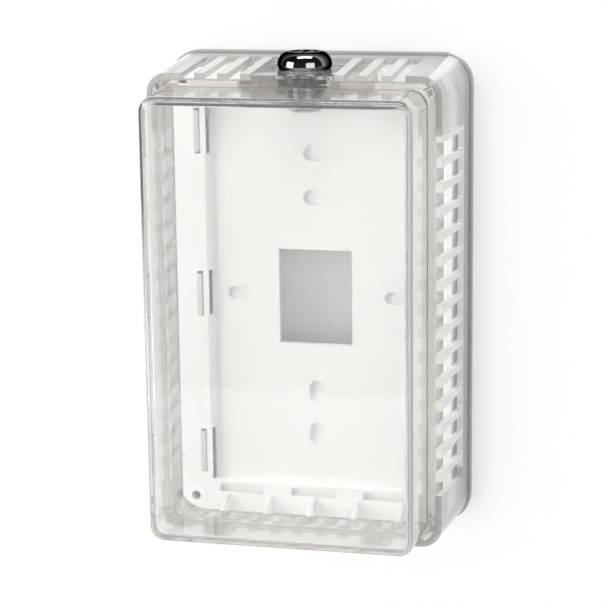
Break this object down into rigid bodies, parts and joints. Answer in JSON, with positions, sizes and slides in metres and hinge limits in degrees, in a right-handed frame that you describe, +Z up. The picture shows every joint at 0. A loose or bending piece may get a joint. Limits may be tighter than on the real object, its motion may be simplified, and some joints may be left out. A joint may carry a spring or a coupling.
{
  "type": "thermostat lock box",
  "caption": "Clear vented wall guard with a hinged locking cover, an opaque wall plate inside and a key lock on top.",
  "frame": {"origin": "middle of the back mounting face, in the wall plane, at the centre of the four corner screw holes", "axes": "+X to the right, +Y into the wall, +Z up: a viewer in front of the wall looks along +Y"},
  "size_m": [0.1272, 0.081, 0.2007],
  "materials": {
    "clear_plastic": "clear moulded polycarbonate",
    "white_plastic": "satin",
    "chrome": "bright plated",
    "zinc": "die-cast",
    "steel": "zinc plated",
    "dark_steel": "blackened",
    "spring_steel": "hardened",
    "brass": "stamped"
  },
  "bodies": {
    "base": {"base_ring": "clear_plastic", "wallplate": "white_plastic"},
    "cover": {"cover": "clear_plastic", "lock_housing": "chrome", "star_washer": "steel", "lock_nut": "dark_steel"},
    "plug": {"lock_plug": "zinc", "plug_scalp": "chrome", "tumbler_1": "brass", "tumbler_2": "brass", "tumbler_3": "brass", "tumbler_4": "brass", "tumbler_5": "brass", "tumbler_springs": "spring_steel", "plug_clip": "spring_steel", "stop_washer": "steel", "cam": "steel", "spring_washer": "spring_steel", "cam_screw": "steel"}
  },
  "joints": [
    {"name": "cover_hinge", "type": "hinge", "parent": "base", "child": "cover", "pos_m": [0, -0.05338, -0.09433], "axis": [1, 0, 0], "range_deg": [0, 90]},
    {"name": "lock_turn", "type": "hinge", "parent": "cover", "child": "plug", "pos_m": [0, -0.028, 0.0946], "axis": [0, 0, -1], "range_deg": [0, 90]}
  ]
}
